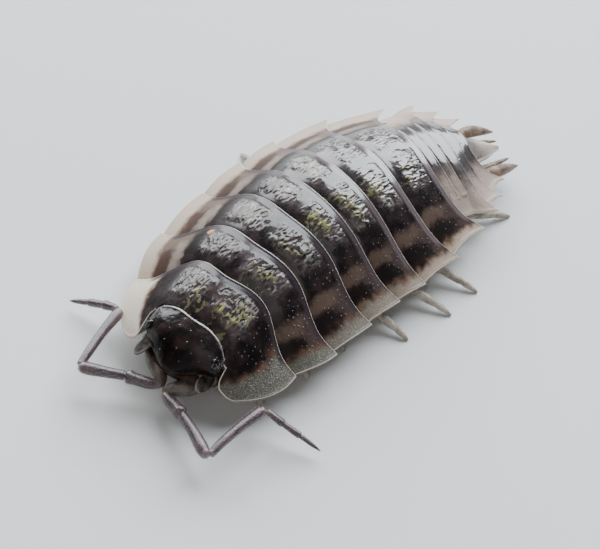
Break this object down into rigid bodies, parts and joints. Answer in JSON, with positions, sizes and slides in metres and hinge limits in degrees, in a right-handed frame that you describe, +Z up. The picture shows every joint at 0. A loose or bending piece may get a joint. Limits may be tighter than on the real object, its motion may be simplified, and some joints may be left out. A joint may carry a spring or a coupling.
{
  "type": "woodlouse",
  "caption": "Still life-size woodlouse standing on the floor, its back of overlapping shell plates bent gently to one side, with elbowed feelers and a pointed tail.",
  "frame": {"origin": "on the floor, below the middle of the animal's box", "axes": "+Z is up, +Y runs back along the body from the head towards the tail, and +X points to the animal's left"},
  "size_m": [0.0112, 0.018, 0.0034],
  "materials": {
    "dark_shell": "dark brown-black horny shell with a wet gloss",
    "tail_shell": "brown horny shell, paler towards its edges",
    "head_shell": "near-black horny shell with low warts",
    "eye": "clusters of black beads, polished",
    "antenna_brown": "purple-brown horn with short pale bristles",
    "pale_leg": "cream to beige skin, satin"
  },
  "bodies": {
    "root": {"pereonite_1": "dark_shell", "pereonite_2": "dark_shell", "pereonite_3": "dark_shell", "pereonite_4": "dark_shell", "pereonite_5": "dark_shell", "pereonite_6": "dark_shell", "pereonite_7": "dark_shell", "pleonite_1": "tail_shell", "pleonite_2": "tail_shell", "pleonite_3": "tail_shell", "pleonite_4": "tail_shell", "pleonite_5": "tail_shell", "telson": "tail_shell", "head": "head_shell", "mouthparts": "pale_leg", "pleopods": "pale_leg", "eye_left": "eye", "uropod_left": "antenna_brown", "antenna_left_base": "antenna_brown", "antenna_left_arm": "antenna_brown", "antenna_left_shaft": "antenna_brown", "antenna_left_flagellum": "antenna_brown", "leg_left_1": "pale_leg", "leg_left_2": "pale_leg", "leg_left_3": "pale_leg", "leg_left_4": "pale_leg", "leg_left_5": "pale_leg", "leg_left_6": "pale_leg", "leg_left_7": "pale_leg", "eye_right": "eye", "uropod_right": "antenna_brown", "antenna_right_base": "antenna_brown", "antenna_right_arm": "antenna_brown", "antenna_right_shaft": "antenna_brown", "antenna_right_flagellum": "antenna_brown", "leg_right_1": "pale_leg", "leg_right_2": "pale_leg", "leg_right_3": "pale_leg", "leg_right_4": "pale_leg", "leg_right_5": "pale_leg", "leg_right_6": "pale_leg", "leg_right_7": "pale_leg"}
  },
  "joints": []
}
